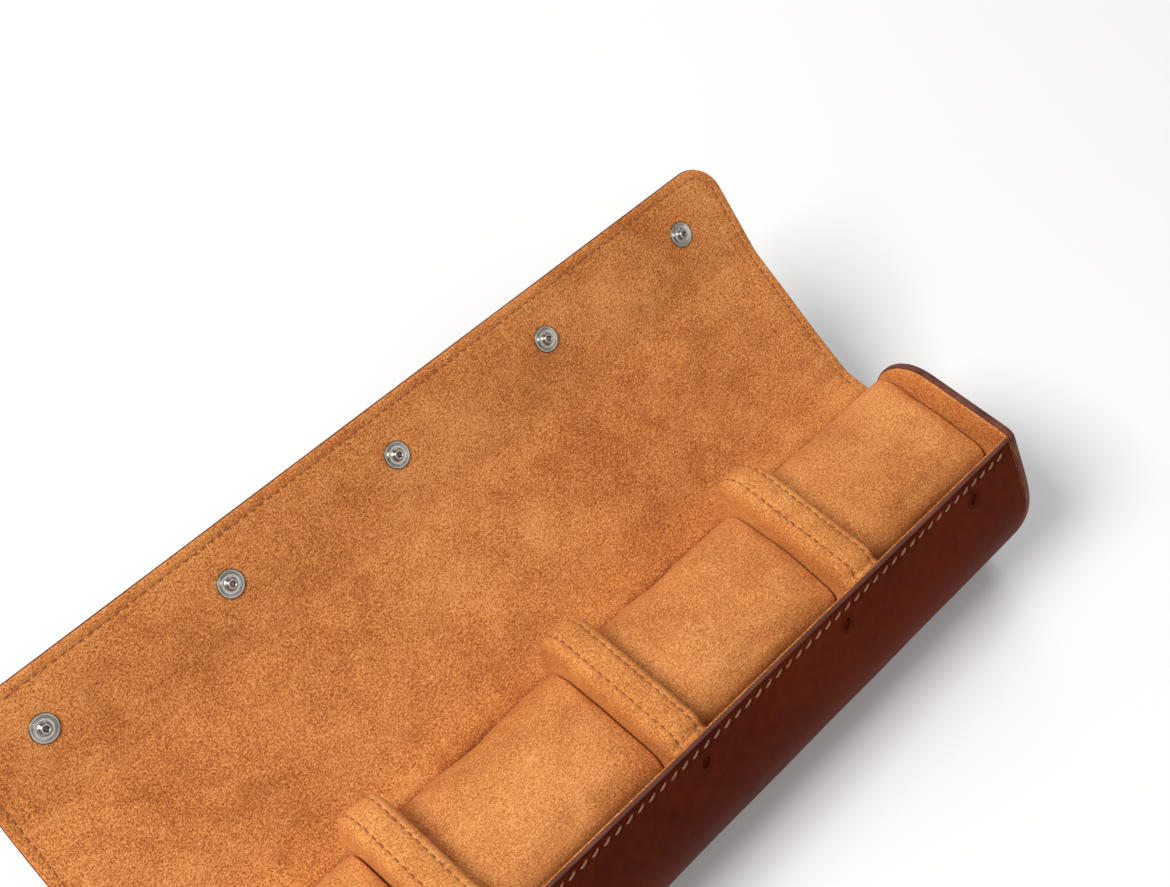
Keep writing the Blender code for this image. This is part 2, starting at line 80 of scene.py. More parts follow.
class Mat:
    """A Principled material with short calls for its nodes."""

    def __init__(self, name, **sockets):
        self.m = bpy.data.materials.new(name)
        self.m.use_nodes = True
        self.t = self.m.node_tree
        self.b = self.t.nodes["Principled BSDF"]
        for key, value in sockets.items():
            self.b.inputs[key.replace("_", " ")].default_value = value
        self.co = self.t.nodes.new("ShaderNodeTexCoord").outputs["Object"]

    def link(self, a, b):
        self.t.links.new(a, b)

    def noise(self, scale, detail=2.0, rough=0.5, distort=0.0, co=None):
        n = self.t.nodes.new("ShaderNodeTexNoise")
        for k, v in (("Scale", scale), ("Detail", detail), ("Roughness", rough), ("Distortion", distort)):
            n.inputs[k].default_value = v
        self.link(co or self.co, n.inputs["Vector"])
        return n.outputs["Fac"]

    def cells(self, scale, feature="F1", co=None):
        n = self.t.nodes.new("ShaderNodeTexVoronoi")
        n.feature = feature
        n.inputs["Scale"].default_value = scale
        self.link(co or self.co, n.inputs["Vector"])
        return n.outputs["Distance"]

    def stretch(self, sx, sy, sz):
        n = self.t.nodes.new("ShaderNodeMapping")
        n.inputs["Scale"].default_value = (sx, sy, sz)
        self.link(self.co, n.inputs["Vector"])
        return n.outputs["Vector"]

    def math(self, op, a, b=0.0, c=0.0):
        n = self.t.nodes.new("ShaderNodeMath")
        n.operation = op
        for i, v in enumerate((a, b, c)):
            if isinstance(v, (int, float)):
                n.inputs[i].default_value = v
            else:
                self.link(v, n.inputs[i])
        return n.outputs[0]

    def total(self, *parts):
        """Weighted sum of (output, weight) pairs."""
        out = 0.0
        for v, w in parts:
            out = self.math("MULTIPLY_ADD", v, w, out)
        return out

    def ramp(self, fac, *stops):
        n = self.t.nodes.new("ShaderNodeValToRGB")
        e = n.color_ramp.elements
        while len(e) < len(stops):
            e.new(0.5)
        for i, (p, c) in enumerate(stops):
            e[i].position = p
            e[i].color = c if not isinstance(c, (int, float)) else (c, c, c, 1)
        self.link(fac, n.inputs[0])
        return n.outputs["Color"]

    def mix(self, fac, a, b, how="MIX"):
        n = self.t.nodes.new("ShaderNodeMix")
        n.data_type = "RGBA"
        n.blend_type = how
        for i, v in ((0, fac), (6, a), (7, b)):
            if isinstance(v, (int, float, tuple)):
                n.inputs[i].default_value = v
            else:
                self.link(v, n.inputs[i])
        return n.outputs[2]

    def bump(self, height, strength, distance, below=None):
        n = self.t.nodes.new("ShaderNodeBump")
        n.inputs["Strength"].default_value = strength
        n.inputs["Distance"].default_value = distance
        self.link(height, n.inputs["Height"])
        if below is not None:
            self.link(below, n.inputs["Normal"])
        self.link(n.outputs["Normal"], self.b.inputs["Normal"])
        return n.outputs["Normal"]

    def colour(self, out):
        self.link(out, self.b.inputs["Base Color"])

    def rough(self, out):
        self.link(out, self.b.inputs["Roughness"])


def suede(name, dark, mid, light, marks=False, mottle=1.0, grit=1.0):
    """Brushed suede: clouds of laid and lifted nap, over a short speckled fibre."""
    m = Mat(name, Roughness=0.93, Specular_IOR_Level=0.18, Sheen_Weight=0.22, Sheen_Roughness=0.45)
    m.b.inputs["Sheen Tint"].default_value = light
    cloud = m.noise(22, 3, 0.5, 0.3)
    patch = m.noise(80, 2, 0.55, 0.6)
    fibre = m.noise(1350, 2, 0.6)
    fleck = m.noise(2400, 1, 0.6)
    tone = m.total((cloud, 0.19 * mottle), (patch, 0.13 * mottle), (fibre, 0.42 * grit), (fleck, 0.50 * grit))
    middle = 0.5 * (0.32 * mottle + 0.92 * grit)
    colour = m.ramp(tone, (middle - 0.12, dark), (middle, mid), (middle + 0.115, light))
    if marks:
        # the fold's rubbed line and short scuffs, by distance from the crease along the flap's slope
        sep = m.t.nodes.new("ShaderNodeSeparateXYZ")
        m.link(m.co, sep.inputs[0])
        a = math.radians((29.9 + FLAP_TIP_DEG) / 2)
        along = m.total((sep.outputs[1], math.cos(a)), (sep.outputs[2], math.sin(a)))
        crease = (FLAP_CREASE[0] * math.cos(a) + FLAP_CREASE[1] * math.sin(a)) * MM
        wander = m.math("MULTIPLY_ADD", m.noise(20, 2), 0.004, crease - 0.002)
        off = m.math("ABSOLUTE", m.math("SUBTRACT", along, wander))
        line = m.ramp(m.math("MULTIPLY", off, 1000), (0.0, 1.0), (0.9, 0.0))
        gate = m.ramp(m.noise(60, 2, 0.6, co=m.stretch(1.0, 0.05, 0.05)), (0.47, 0.0), (0.56, 1.0))
        colour = m.mix(m.math("MULTIPLY", m.math("MULTIPLY", line, gate), 0.28), colour, light)
        bruise = m.ramp(m.noise(34, 2, 0.5, 0.6, co=m.stretch(1.0, 1.6, 1.6)), (0.63, 0.0), (0.74, 1.0))
        colour = m.mix(m.math("MULTIPLY", bruise, 0.26), colour, dark)
    m.colour(colour)
    low = m.bump(m.total((fibre, 0.5), (fleck, 0.5)), 0.5 * grit, 0.0005)
    m.bump(patch, 0.25, 0.0012, low)
    return m.m


def hide(name, deep, mid):
    """Smooth waxed leather with a fine grain."""
    m = Mat(name, Roughness=0.5, Specular_IOR_Level=0.02)
    cloud = m.noise(14, 3, 0.5, 0.6)
    fine = m.noise(240, 3, 0.55)
    m.colour(m.ramp(m.total((cloud, 0.65), (fine, 0.35)), (0.36, deep), (0.62, mid)))
    m.rough(m.ramp(m.total((cloud, 0.5), (fine, 0.5)), (0.35, 0.40), (0.65, 0.56)))
    pores = m.cells(1150)
    grain = m.ramp(pores, (0.0, 0.0), (0.32, 1.0))
    low = m.bump(grain, 0.22, 0.0003)
    m.bump(m.total((fine, 0.6), (m.noise(46, 2), 0.4)), 0.18, 0.0007, low)
    return m.m


def paint():
    """Burnished, painted leather edge: greyed brown, with a soft shine and faint layer lines."""
    m = Mat("edge_paint", Roughness=0.5, Specular_IOR_Level=0.16)
    wave = m.noise(120, 3, 0.6, co=m.stretch(0.3, 1, 1))
    m.colour(m.ramp(wave, (0.35, srgb(82, 44, 35)), (0.55, srgb(104, 61, 50)), (0.7, srgb(120, 74, 61))))
    m.rough(m.ramp(wave, (0.3, 0.42), (0.7, 0.62)))
    m.bump(m.noise(700, 2, 0.6), 0.3, 0.0003)
    return m.m


def thread(name, dark, light):
    """Waxed twisted thread."""
    m = Mat(name, Roughness=0.62, Specular_IOR_Level=0.3, Sheen_Weight=0.15)
    twist = m.noise(1500, 2, 0.5, 1.2)
    m.colour(m.ramp(twist, (0.35, dark), (0.65, light)))
    m.bump(twist, 0.5, 0.0002)
    return m.m


def metal(name, colour, other, low, high, metallic=1.0, shine=0.5):
    """Plated metal with faint wear."""
    m = Mat(name, Metallic=metallic, Roughness=low, Specular_IOR_Level=shine)
    wear = m.noise(420, 3, 0.6)
    m.colour(m.ramp(wear, (0.4, colour), (0.62, other)))
    m.rough(m.ramp(m.noise(900, 2, 0.6), (0.35, low), (0.7, high)))
    m.bump(m.noise(1600, 1), 0.06, 0.0002)
    return m.m


def board():
    m = Mat("fibreboard", Roughness=0.9, Specular_IOR_Level=0.2)
    grain = m.noise(500, 3, 0.6, co=m.stretch(0.2, 1, 1))
    m.colour(m.ramp(grain, (0.35, srgb(150, 134, 108)), (0.65, srgb(178, 163, 137))))
    m.bump(grain, 0.4, 0.0004)
    return m.m


def foam():
    m = Mat("foam", Roughness=0.95, Specular_IOR_Level=0.15)
    cell = m.cells(900)
    m.colour(m.ramp(cell, (0.1, srgb(196, 186, 160)), (0.6, srgb(228, 220, 196))))
    m.bump(cell, 0.6, 0.0006)
    return m.m


SUEDE_FLAP = suede("suede_flap", srgb(142, 72, 31), srgb(193, 117, 58), srgb(226, 157, 93), marks=True)
SUEDE_PAD = suede("suede_divider", srgb(156, 86, 38), srgb(203, 131, 69), srgb(232, 166, 98), mottle=0.9, grit=0.82)
SUEDE_CUSHION = suede("suede_cushion", srgb(154, 83, 38), srgb(200, 128, 68), srgb(230, 164, 100), mottle=0.9, grit=0.82)
HIDE = hide("leather_brown", srgb(68, 20, 8), srgb(92, 32, 11))
PAINT = paint()
THREAD_WALL = thread("thread_cream", srgb(104, 62, 44), srgb(150, 100, 72))
# flap thread: painted shade, drawn darker than the suede it matches, in the shadowed tone of its sunk row
THREAD_FLAP_SHADED = thread("thread_tan_painted_shade", srgb(124, 64, 27), srgb(164, 94, 47))
# divider thread: painted shade, dark brown for the shadow of its needle holes and the fold the rows sit in
THREAD_PAD_SHADED = thread("thread_brown_painted_shade", srgb(116, 58, 26), srgb(162, 92, 46))
NICKEL = metal("nickel", srgb(190, 185, 178), srgb(168, 163, 156), 0.2, 0.32)
# darker, rougher nickel for the studs' outer rim and ball hollow: painted shade, with the dark suede's reflection
# painted on the rim
NICKEL_SHADED = metal("nickel_painted_shade", srgb(122, 112, 102), srgb(96, 86, 76), 0.34, 0.46)
EYELET = metal("socket_dark", srgb(80, 26, 10), srgb(70, 22, 9), 0.55, 0.7, 0.0, 0.02)
BOARD, FOAM = board(), foam()


# ---- paths in the YZ plane, as (n, 2) arrays in millimetres ----------------------------------------
def bezier(p0, p1, p2, p3, n=40):
    t = np.linspace(0, 1, n + 1)[:, None]
    p0, p1, p2, p3 = (np.array(p, float) for p in (p0, p1, p2, p3))
    return (1 - t) ** 3 * p0 + 3 * t * (1 - t) ** 2 * p1 + 3 * t * t * (1 - t) * p2 + t ** 3 * p3


def arc(c, r, a0, a1, n):
    a = np.radians(np.linspace(a0, a1, n + 1))
    return np.stack([c[0] + r * np.cos(a), c[1] + r * np.sin(a)], 1)


def lengths(p):
    return np.concatenate([[0], np.cumsum(np.linalg.norm(np.diff(p, axis=0), axis=1))])


def at(p, s):
    """Points of a path at distances s along it."""
    ls = lengths(p)
    return np.stack([np.interp(s, ls, p[:, 0]), np.interp(s, ls, p[:, 1])], -1)


def left(p, closed=False):
    """Left-hand unit normals."""
    d = np.roll(p, -1, 0) - np.roll(p, 1, 0) if closed else np.gradient(p, axis=0)
    d = d / np.linalg.norm(d, axis=1)[:, None]
    return np.stack([-d[:, 1], d[:, 0]], 1)


def fillet(points, radii, n=14):
    """A path through points with its inner corners rounded."""
    out = [np.array(points[0], float)]
    for i, r in enumerate(radii, 1):
        a, b, c = (np.array(points[k], float) for k in (i - 1, i, i + 1))
        u, v = (a - b) / np.linalg.norm(a - b), (c - b) / np.linalg.norm(c - b)
        half = math.acos(max(-1.0, min(1.0, float(u @ v)))) / 2
        t = r / math.tan(half)
        mid = b + (u + v) / np.linalg.norm(u + v) * (r / math.sin(half))
        p, q = b + u * t - mid, b + v * t - mid
        turn = math.pi - 2 * half
        for k in range(n + 1):
            f = k / n
            w = p * math.sin((1 - f) * turn) / math.sin(turn) + q * math.sin(f * turn) / math.sin(turn)
            out.append(mid + w)
    out.append(np.array(points[-1], float))
    return np.array(out)


def ease(t):
    t = np.clip(t, 0, 1)
    return t * t * (3 - 2 * t)


lean = math.radians(FRONT_LEAN)
body = np.concatenate([
    bezier(FRONT_EDGE, (FRONT_EDGE[0] - 13 * math.sin(lean), FRONT_EDGE[1] - 13 * math.cos(lean)),
           (BELLY[0], BELLY[1] + 13), BELLY),
    bezier(BELLY, (BELLY[0], BELLY[1] - 19), (BASE_FRONT - 9.5, 0), (BASE_FRONT, 0))[1:],
    bezier((BASE_BACK, 0), (BASE_BACK + 7, 0), (BACK_BELLY[0], BACK_BELLY[1] - 11), BACK_BELLY),
    bezier(BACK_BELLY, (BACK_BELLY[0], BACK_BELLY[1] + 8), (HINGE[0] + 1, HINGE[1] - 8), HINGE)[1:]])
TOTAL = lengths(body)[-1]


def wall(s, depth):
    """Points at distances s round the body, depth inside its outer leather."""
    s = np.asarray(s, float)
    p = at(body, s)
    e = 0.35
    d = at(body, np.minimum(s + e, TOTAL)) - at(body, np.maximum(s - e, 0))
    d = d / np.linalg.norm(d, axis=-1)[..., None]
    return p + np.stack([-d[..., 1], d[..., 0]], -1) * np.asarray(depth, float)[..., None]


def lining_back(s):
    return 1.4 + 1.4 * np.minimum(ease((s - 3.5) / 3), ease((TOTAL - 3 - s) / 4))


# ---- mesh building ---------------------------------------------------------------------------------
def wobble(co, size, scale, seed=0.0):
    """Smooth noise at each point, between about -size and size."""
    co = np.asarray(co, float)
    flat = co.reshape(-1, 3)
    out = np.array([noise.noise(Vector((p[0] / scale + seed, p[1] / scale, p[2] / scale))) for p in flat])
    return (out * size * 1.6).reshape(co.shape[:-1])


def make(name, verts, faces, mats, face_mats=None, flat_angle=None):
    me = bpy.data.meshes.new(name)
    me.from_pydata((np.asarray(verts, float) * MM).tolist(), [], faces)
    for m in mats:
        me.materials.append(m)
    if face_mats is not None:
        me.polygons.foreach_set("material_index", face_mats)
    me.polygons.foreach_set("use_smooth", [True] * len(me.polygons))
    me.validate()
    me.update()
    if flat_angle:
        me.set_sharp_from_angle(angle=math.radians(flat_angle))
    ob = bpy.data.objects.new(name, me)
    bpy.context.scene.collection.objects.link(ob)
    return ob


def ribbon(name, loop, xs, mats, loop_mats=None, swell=0.25, seed=0.0):
    """A closed section drawn along X, waving a little as hand-made leather does."""
    n, m = len(loop), len(xs)
    v = np.zeros((m, n, 3))
    v[..., 0] = np.asarray(xs)[:, None]
    v[..., 1:] = loop[None]
    if swell:
        mid = loop.mean(0)
        out = loop - mid
        out = out / np.linalg.norm(out, axis=1)[:, None]
        k = wobble(v, swell, 34.0, seed)
        k = np.where(loop[None, :, 1] < 1.0, np.abs(k) * 0.0, k) * ease(loop[None, :, 1] / 12.0)
        v[..., 1:] += out[None] * k[..., None] * 0.5
    faces, fm = [], []
    for i in range(m - 1):
        for j in range(n):
            q = (j + 1) % n
            faces.append((i * n + j, i * n + q, (i + 1) * n + q, (i + 1) * n + j))
            fm.append(loop_mats[j] if loop_mats is not None else 0)
    faces.append(tuple(range(n - 1, -1, -1)))
    faces.append(tuple((m - 1) * n + j for j in range(n)))
    fm += [0, 0]
    return make(name, v.reshape(-1, 3), faces, mats, fm, 60)


def slab(name, top, bottom, rings, mats, rim_mat=1):
    """A closed sheet between two (m, n, 3) grids, with rings of points between their borders."""
    m, n = top.shape[:2]
    border = [(0, j) for j in range(n)] + [(i, n - 1) for i in range(1, m)]
    border += [(m - 1, j) for j in range(n - 2, -1, -1)] + [(i, 0) for i in range(m - 2, 0, -1)]
    verts = [top.reshape(-1, 3), bottom.reshape(-1, 3)]
    idx = lambda i, j: i * n + j
    faces, fm = [], []
    for i in range(m - 1):
        for j in range(n - 1):
            a = (idx(i, j), idx(i, j + 1), idx(i + 1, j + 1), idx(i + 1, j))
            faces.append(a)
            faces.append(tuple(m * n + k for k in reversed(a)))
            fm += [0, 0]
    count = 2 * m * n
    rows = [[idx(i, j) for i, j in border]]
    for r in rings:
        verts.append(np.array([r[i, j] for i, j in border]))
        rows.append(list(range(count, count + len(border))))
        count += len(border)
    rows.append([m * n + idx(i, j) for i, j in border])
    for a, b in zip(rows, rows[1:]):
        for k in range(len(border)):
            q = (k + 1) % len(border)
            faces.append((a[k], b[k], b[q], a[q]))
            inner = border[k][0] == 0 and border[q][0] == 0
            fm.append(0 if inner or not rings else rim_mat)
    return make(name, np.concatenate(verts), faces, mats, fm, 70)


def inset_line(outline, d):
    """A closed outline moved in by d, along normals softened so that tight corners don't fold over."""
    nor = left(outline, True)
    step = np.linalg.norm(np.roll(outline, -1, 0) - outline, axis=1).mean()
    for _ in range(int(1.6 * (max(d - 0.6, 0) / step) ** 2)):
        nor = nor * 0.5 + (np.roll(nor, 1, 0) + np.roll(nor, -1, 0)) * 0.25
    return outline + nor / np.linalg.norm(nor, axis=1)[:, None] * d


def pad(name, outline, profile, centre, mats, row_mats=None, warp=None):
    """A closed pad: an outline in YZ swept over rows of (x, inset, shrink), closed at its centre on both sides."""
    n = len(outline)
    rows = []
    for x, d, u in profile:
        p = inset_line(outline, d)
        p = p + (np.array(centre) - p) * u
        rows.append(np.concatenate([np.full((n, 1), x), p], 1))
    v = np.array(rows)
    if warp is not None:
        v = warp(v, outline)
    a = np.array([[profile[0][0], *centre], [profile[-1][0], *centre]])
    faces, fm = [], []
    for i in range(len(rows) - 1):
        for j in range(n):
            q = (j + 1) % n
            faces.append((i * n + j, (i + 1) * n + j, (i + 1) * n + q, i * n + q))
            fm.append(row_mats[i] if row_mats else 0)
    c = len(rows) * n
    for j in range(n):
        q = (j + 1) % n
        faces.append((c, j, q))
        faces.append((c + 1, c - n + q, c - n + j))
        fm += [row_mats[0], row_mats[-1]] if row_mats else [0, 0]
    return make(name, np.concatenate([v.reshape(-1, 3), a]), faces, mats, fm, 80)


def turned(name, profile, frames, mats, n=40, dull_shaded=()):
    """One turned piece for a frame (4x4, millimetres), from a closed (radius, height) outline.

    The outline starts and ends on the axis, or is a ring; its dull, shaded steps take the second material, a rougher
    and darker metal that stands for painted shade.
    """
    verts, faces, fm = [], [], []
    p = np.array(profile, float)
    ring = p[0][0] > 1e-6
    base = []
    for i, (r, h) in enumerate(p):
        if r < 1e-6:
            base.append([len(verts)] * n)
            verts.append((0, 0, h))
        else:
            base.append(list(range(len(verts), len(verts) + n)))
            verts += [(r * math.cos(2 * math.pi * k / n), r * math.sin(2 * math.pi * k / n), h) for k in range(n)]
    pairs = list(zip(range(len(p)), range(1, len(p)))) + ([(len(p) - 1, 0)] if ring else [])
    for a, b in pairs:
        for k in range(n):
            q = (k + 1) % n
            f = []
            for w in (base[a][k], base[a][q], base[b][q], base[b][k]):
                if w not in f:
                    f.append(w)
            if len(f) > 2:
                faces.append(tuple(f))
                fm.append(1 if a in dull_shaded else 0)
    v = np.concatenate([np.array(verts), np.ones((len(verts), 1))], 1) @ np.array(frames).T
    ob = make(name, v[:, :3], faces, mats, fm)
    fix_normals(ob)
    ob.data.set_sharp_from_angle(angle=math.radians(50))
    return ob


def fix_normals(ob):
    import bmesh
    bm = bmesh.new()
    bm.from_mesh(ob.data)
    bmesh.ops.recalc_face_normals(bm, faces=bm.faces)
    bm.to_mesh(ob.data)
    bm.free()


def stitches(name, places, length, width, height, mat, bow=0.35):
    """Thread lying between needle holes: each place is (centre, along, up), and its ends dip into the sheet."""
    seg, rings = 8, 7
    t = np.linspace(-1, 1, rings)
    prof = np.sqrt(np.clip(1 - np.abs(t) ** 3.2, 0.0, 1))
    prof[0] = prof[-1] = 0.25
    a = np.linspace(0, 2 * np.pi, seg, endpoint=False)
    verts, faces = [], []
    for c, u, w in places:
        c, u, w = (np.asarray(x, float) for x in (c, u, w))
        u = u / np.linalg.norm(u)
        w = w - u * (w @ u)
        w = w / np.linalg.norm(w)
        side = np.cross(w, u)
        k = len(verts)
        for i in range(rings):
            drop = -bow * t[i] ** 2
            for b in a:
                verts.append(c + u * (t[i] * length / 2) + side * (math.cos(b) * width / 2 * prof[i])
                             + w * (math.sin(b) * height / 2 * prof[i] + drop))
        for i in range(rings - 1):
            for j in range(seg):
                q = (j + 1) % seg
                faces.append((k + i * seg + j, k + i * seg + q, k + (i + 1) * seg + q, k + (i + 1) * seg + j))
        faces.append(tuple(k + j for j in range(seg - 1, -1, -1)))
        faces.append(tuple(k + (rings - 1) * seg + j for j in range(seg)))
    ob = make(name, verts, faces, [mat])
    fix_normals(ob)
    return ob


def frame_at(x, p, up):
    """4x4 frame in millimetres whose local Z is (0, up)."""
    z = Vector((0, *up)).normalized()
    xa = Vector((1, 0, 0))
    y = z.cross(xa)
    m = np.eye(4)
    m[:3, 0], m[:3, 1], m[:3, 2] = xa, y, z
    m[:3, 3] = (x, *p)
    return m


# ---- body: leather shell, edge paint and lining ------------------------------------------------------
END_S = TOTAL - HINGE_SPLIT
SNAP_X = [k * SNAP_PITCH for k in (-2, -1, 0, 1, 2)]
xs = np.unique(np.concatenate([np.linspace(-INNER_X - 0.1, INNER_X + 0.1, 84),
                               *[x + np.array([-3.4, -2.6, 2.6, 3.4]) for x in SNAP_X]]))
xs = xs[np.concatenate([[True], np.diff(xs) > 0.3])]
s_out = np.concatenate([np.linspace(0.85, 8, 37), np.arange(9, TOTAL - 4, 1.3), np.linspace(TOTAL - 3.6, END_S, 4)])
groove = 0.34 * np.exp(-((s_out - WALL_STITCH) / 0.75) ** 2)
crease_line = 0.45 * np.exp(-((s_out - 1.75) / 0.5) ** 2)
outer = wall(s_out, groove + crease_line)
turn = np.radians(np.linspace(180, 0, 15))[1:-1]
power = 0.62
rim_q = 0.69 - 0.69 * np.sign(np.cos(turn)) * np.abs(np.cos(turn)) ** power
rim_s = 0.8 - 0.8 * np.abs(np.sin(turn)) ** power
rim = wall(rim_s, rim_q)
inner_leather = wall(s_out, np.where(s_out < 2.3, SOLE, LEATHER))
loop = np.concatenate([inner_leather[::-1], rim, outer])
loop_mats = [0] * len(loop)
first = len(inner_leather) - 2
for j in range(first, first + len(rim) + 2):
    loop_mats[j] = 1
shell = ribbon("body_hide", loop, xs, [HIDE, PAINT], loop_mats)
wall_p = wall(np.array([SOCKET_BELOW - 0.5, SOCKET_BELOW + 0.5]), np.zeros(2))
wall_d = (wall_p[1] - wall_p[0]) / np.linalg.norm(wall_p[1] - wall_p[0])
for x in SNAP_X:
    # a blind hole in the leather under each socket, for the stud's ball
    drill = turned("drill", [(0, -1.0), (2.1, -1.0), (2.1, 2.0), (0, 2.0)],
                   frame_at(x, wall_p.mean(0), (wall_d[1], -wall_d[0])), [HIDE])
    cut = shell.modifiers.new("hole", "BOOLEAN")
    cut.operation, cut.solver, cut.object = "DIFFERENCE", "EXACT", drill
    holed = bpy.data.meshes.new_from_object(shell.evaluated_get(bpy.context.evaluated_depsgraph_get()))
    shell.modifiers.clear()
    shell.data = holed
    bpy.data.objects.remove(drill, do_unlink=True)
shell.data.set_sharp_from_angle(angle=math.radians(60))
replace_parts(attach(shell, "case"), "body_leather")

s_l = np.concatenate([np.linspace(0.3, 8, 19), np.arange(9, TOTAL - 4, 1.3), np.linspace(TOTAL - 3.6, END_S, 4)])
face = wall(s_l, lining_back(s_l) + LINING - 0.2 * np.exp(-((s_l - 0.3) / 0.35) ** 2))
back = wall(s_l, lining_back(s_l) + 0.02)
lining = ribbon("body_suede", np.concatenate([face, back[::-1]]), xs, [SUEDE_FLAP], swell=0.2)
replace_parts(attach(lining, "case"), "body_lining")

# saddle stitches along the front edge, each slanted up to the right
places = []
for k in range(-32, 33):
    x = (k + 0.5) * WALL_PITCH
    if abs(x) > INNER_X - 2:
        continue
    p, q = wall(np.array([WALL_STITCH - 0.5, WALL_STITCH + 0.5]), np.array([0.1, 0.1]))
    down = (q - p) / np.linalg.norm(q - p)
    up = np.array([0, down[1], -down[0]])
    if up[2] < 0:
        up = -up
    c = (p + q) / 2
    u = np.array([1.0, -0.42 * down[0], -0.42 * down[1]])
    places.append((np.array([x, *c]) + up * 0.12, u, up))
thread_front = stitches("thread_front_edge", places, 3.7, 0.9, 0.7, THREAD_WALL)
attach(thread_front, "case")


# ---- closed outlines of end walls and dividers --------------------------------------------------------
def walled(path, top_front, front_r):
    keep = path[(path[:, 1] < HINGE[1] - 1.6) | (path[:, 0] < 0)]
    top = arc((DIV_BACK - DIV_BACK_R, DIV_TOP - DIV_BACK_R), DIV_BACK_R, 0, 90, 24)
    corner = arc((top_front + front_r, DIV_TOP - front_r), front_r, 90, 150, 8)
    return np.concatenate([keep, [[DIV_BACK, HINGE[1] + 0.8]], top, corner])


def leaning(path):
    """The padded dividers at rest: they spring back over the hinge, where the closed flap presses them in."""
    keep = path[(path[:, 1] < HINGE[1] - 2.3) | (path[:, 0] < 0)]
    back = [(29.5, 38.6), (30.2, 41.4), (31.6, 43.6), (33.9, 46.0), (35.3, 50.0), (36.0, 55.0)]
    top = arc((SPRING_BACK - 10.5, DIV_TOP + 0.3 - 10.5), 10.5, 8, 90, 20)
    corner = arc((-22.9 + 5.5, DIV_TOP + 0.2 - 5.5), 5.5, 90, 165, 10)
    return np.concatenate([keep, back, top, corner])


def even(p, step, soften):
    """A closed outline with evenly spaced points, softened a little."""
    q = np.concatenate([p, p[:1]])
    n = int(lengths(q)[-1] / step)
    q = at(q, np.linspace(0, lengths(q)[-1], n, endpoint=False))
    for _ in range(soften):
        q = q * 0.5 + (np.roll(q, 1, 0) + np.roll(q, -1, 0)) * 0.25
    return q


dense = np.arange(0, TOTAL + 0.01, 0.8)
end_line = even(walled(wall(dense, np.zeros_like(dense)), FRONT_EDGE[0] + 0.9, 1.2), 1.1, 3)
end_line[:, 1] = np.maximum(end_line[:, 1], 0.0)
div_line = even(leaning(wall(dense, lining_back(dense) + 1.2)), 0.75, 5)

CENTRE = (-1.0, 34.0)
# rows of (x, inset, shrink) from the inside out: back, painted edge, stitch channel, then the face
end_profile = [
    (165.06, 3.0, 0.6), (165.06, 3.0, 0.0), (165.1, 1.0, 0), (165.2, 0.45, 0), (165.5, 0.12, 0), (166.1, 0.0, 0),
    (166.8, 0.0, 0), (167.3, 0.06, 0), (167.65, 0.25, 0), (167.88, 0.6, 0), (167.96, 1.2, 0), (167.9, 1.9, 0),
    (168.0, 2.4, 0), (167.95, 3.1, 0), (167.66, 3.7, 0), (167.95, 4.3, 0), (168.0, 5.2, 0), (168.0, 7.5, 0),
    (168.0, 7.5, 0.25), (168.0, 7.5, 0.5), (168.0, 7.5, 0.75)]
end_mats = [0] * 2 + [1] * 7 + [0] * 11
suede_profile = [
    (164.22, 6, 0.7), (164.22, 6, 0.35), (164.22, 6, 0), (164.24, 2.2, 0), (164.32, 1.3, 0),
    (164.5, 0.85, 0), (164.8, 0.65, 0), (165.0, 0.7, 0), (165.02, 3, 0), (165.02, 3, 0.6)]
for side, sign in (("left", -1), ("right", 1)):
    flipped = lambda rows: [(sign * x, d, u) for x, d, u in rows]
    ob = pad(f"end_hide_{side}", end_line, flipped(end_profile), CENTRE, [HIDE, PAINT], end_mats)
    fix_normals(ob)
    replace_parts(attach(ob, "case"), f"end_leather_{side}", f"end_board_{side}")
    ob = pad(f"end_suede_{side}", end_line, flipped(suede_profile), CENTRE, [SUEDE_FLAP])
    fix_normals(ob)
    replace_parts(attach(ob, "case"), f"end_lining_{side}")
    inset = inset_line(end_line, WALL_STITCH)
    q = np.concatenate([inset, inset[:1]])
    total = lengths(q)[-1]
    count = round(total / WALL_PITCH)
    places = []
    for k in range(count):
        s = (k + 0.5) * total / count
        p0, p1 = at(q, s - 0.6 if s > 0.6 else 0), at(q, s + 0.6)
        d = (p1 - p0) / np.linalg.norm(p1 - p0)
        n = np.array([-d[1], d[0]])
        u = np.array([0, *(d + 0.3 * sign * n)])
        places.append((np.array([sign * 167.86, *((p0 + p1) / 2)]), u, np.array([sign, 0, 0])))
    ob = stitches(f"thread_end_{side}", places, 4.0, 0.95, 0.7, THREAD_WALL)
    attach(ob, "case")

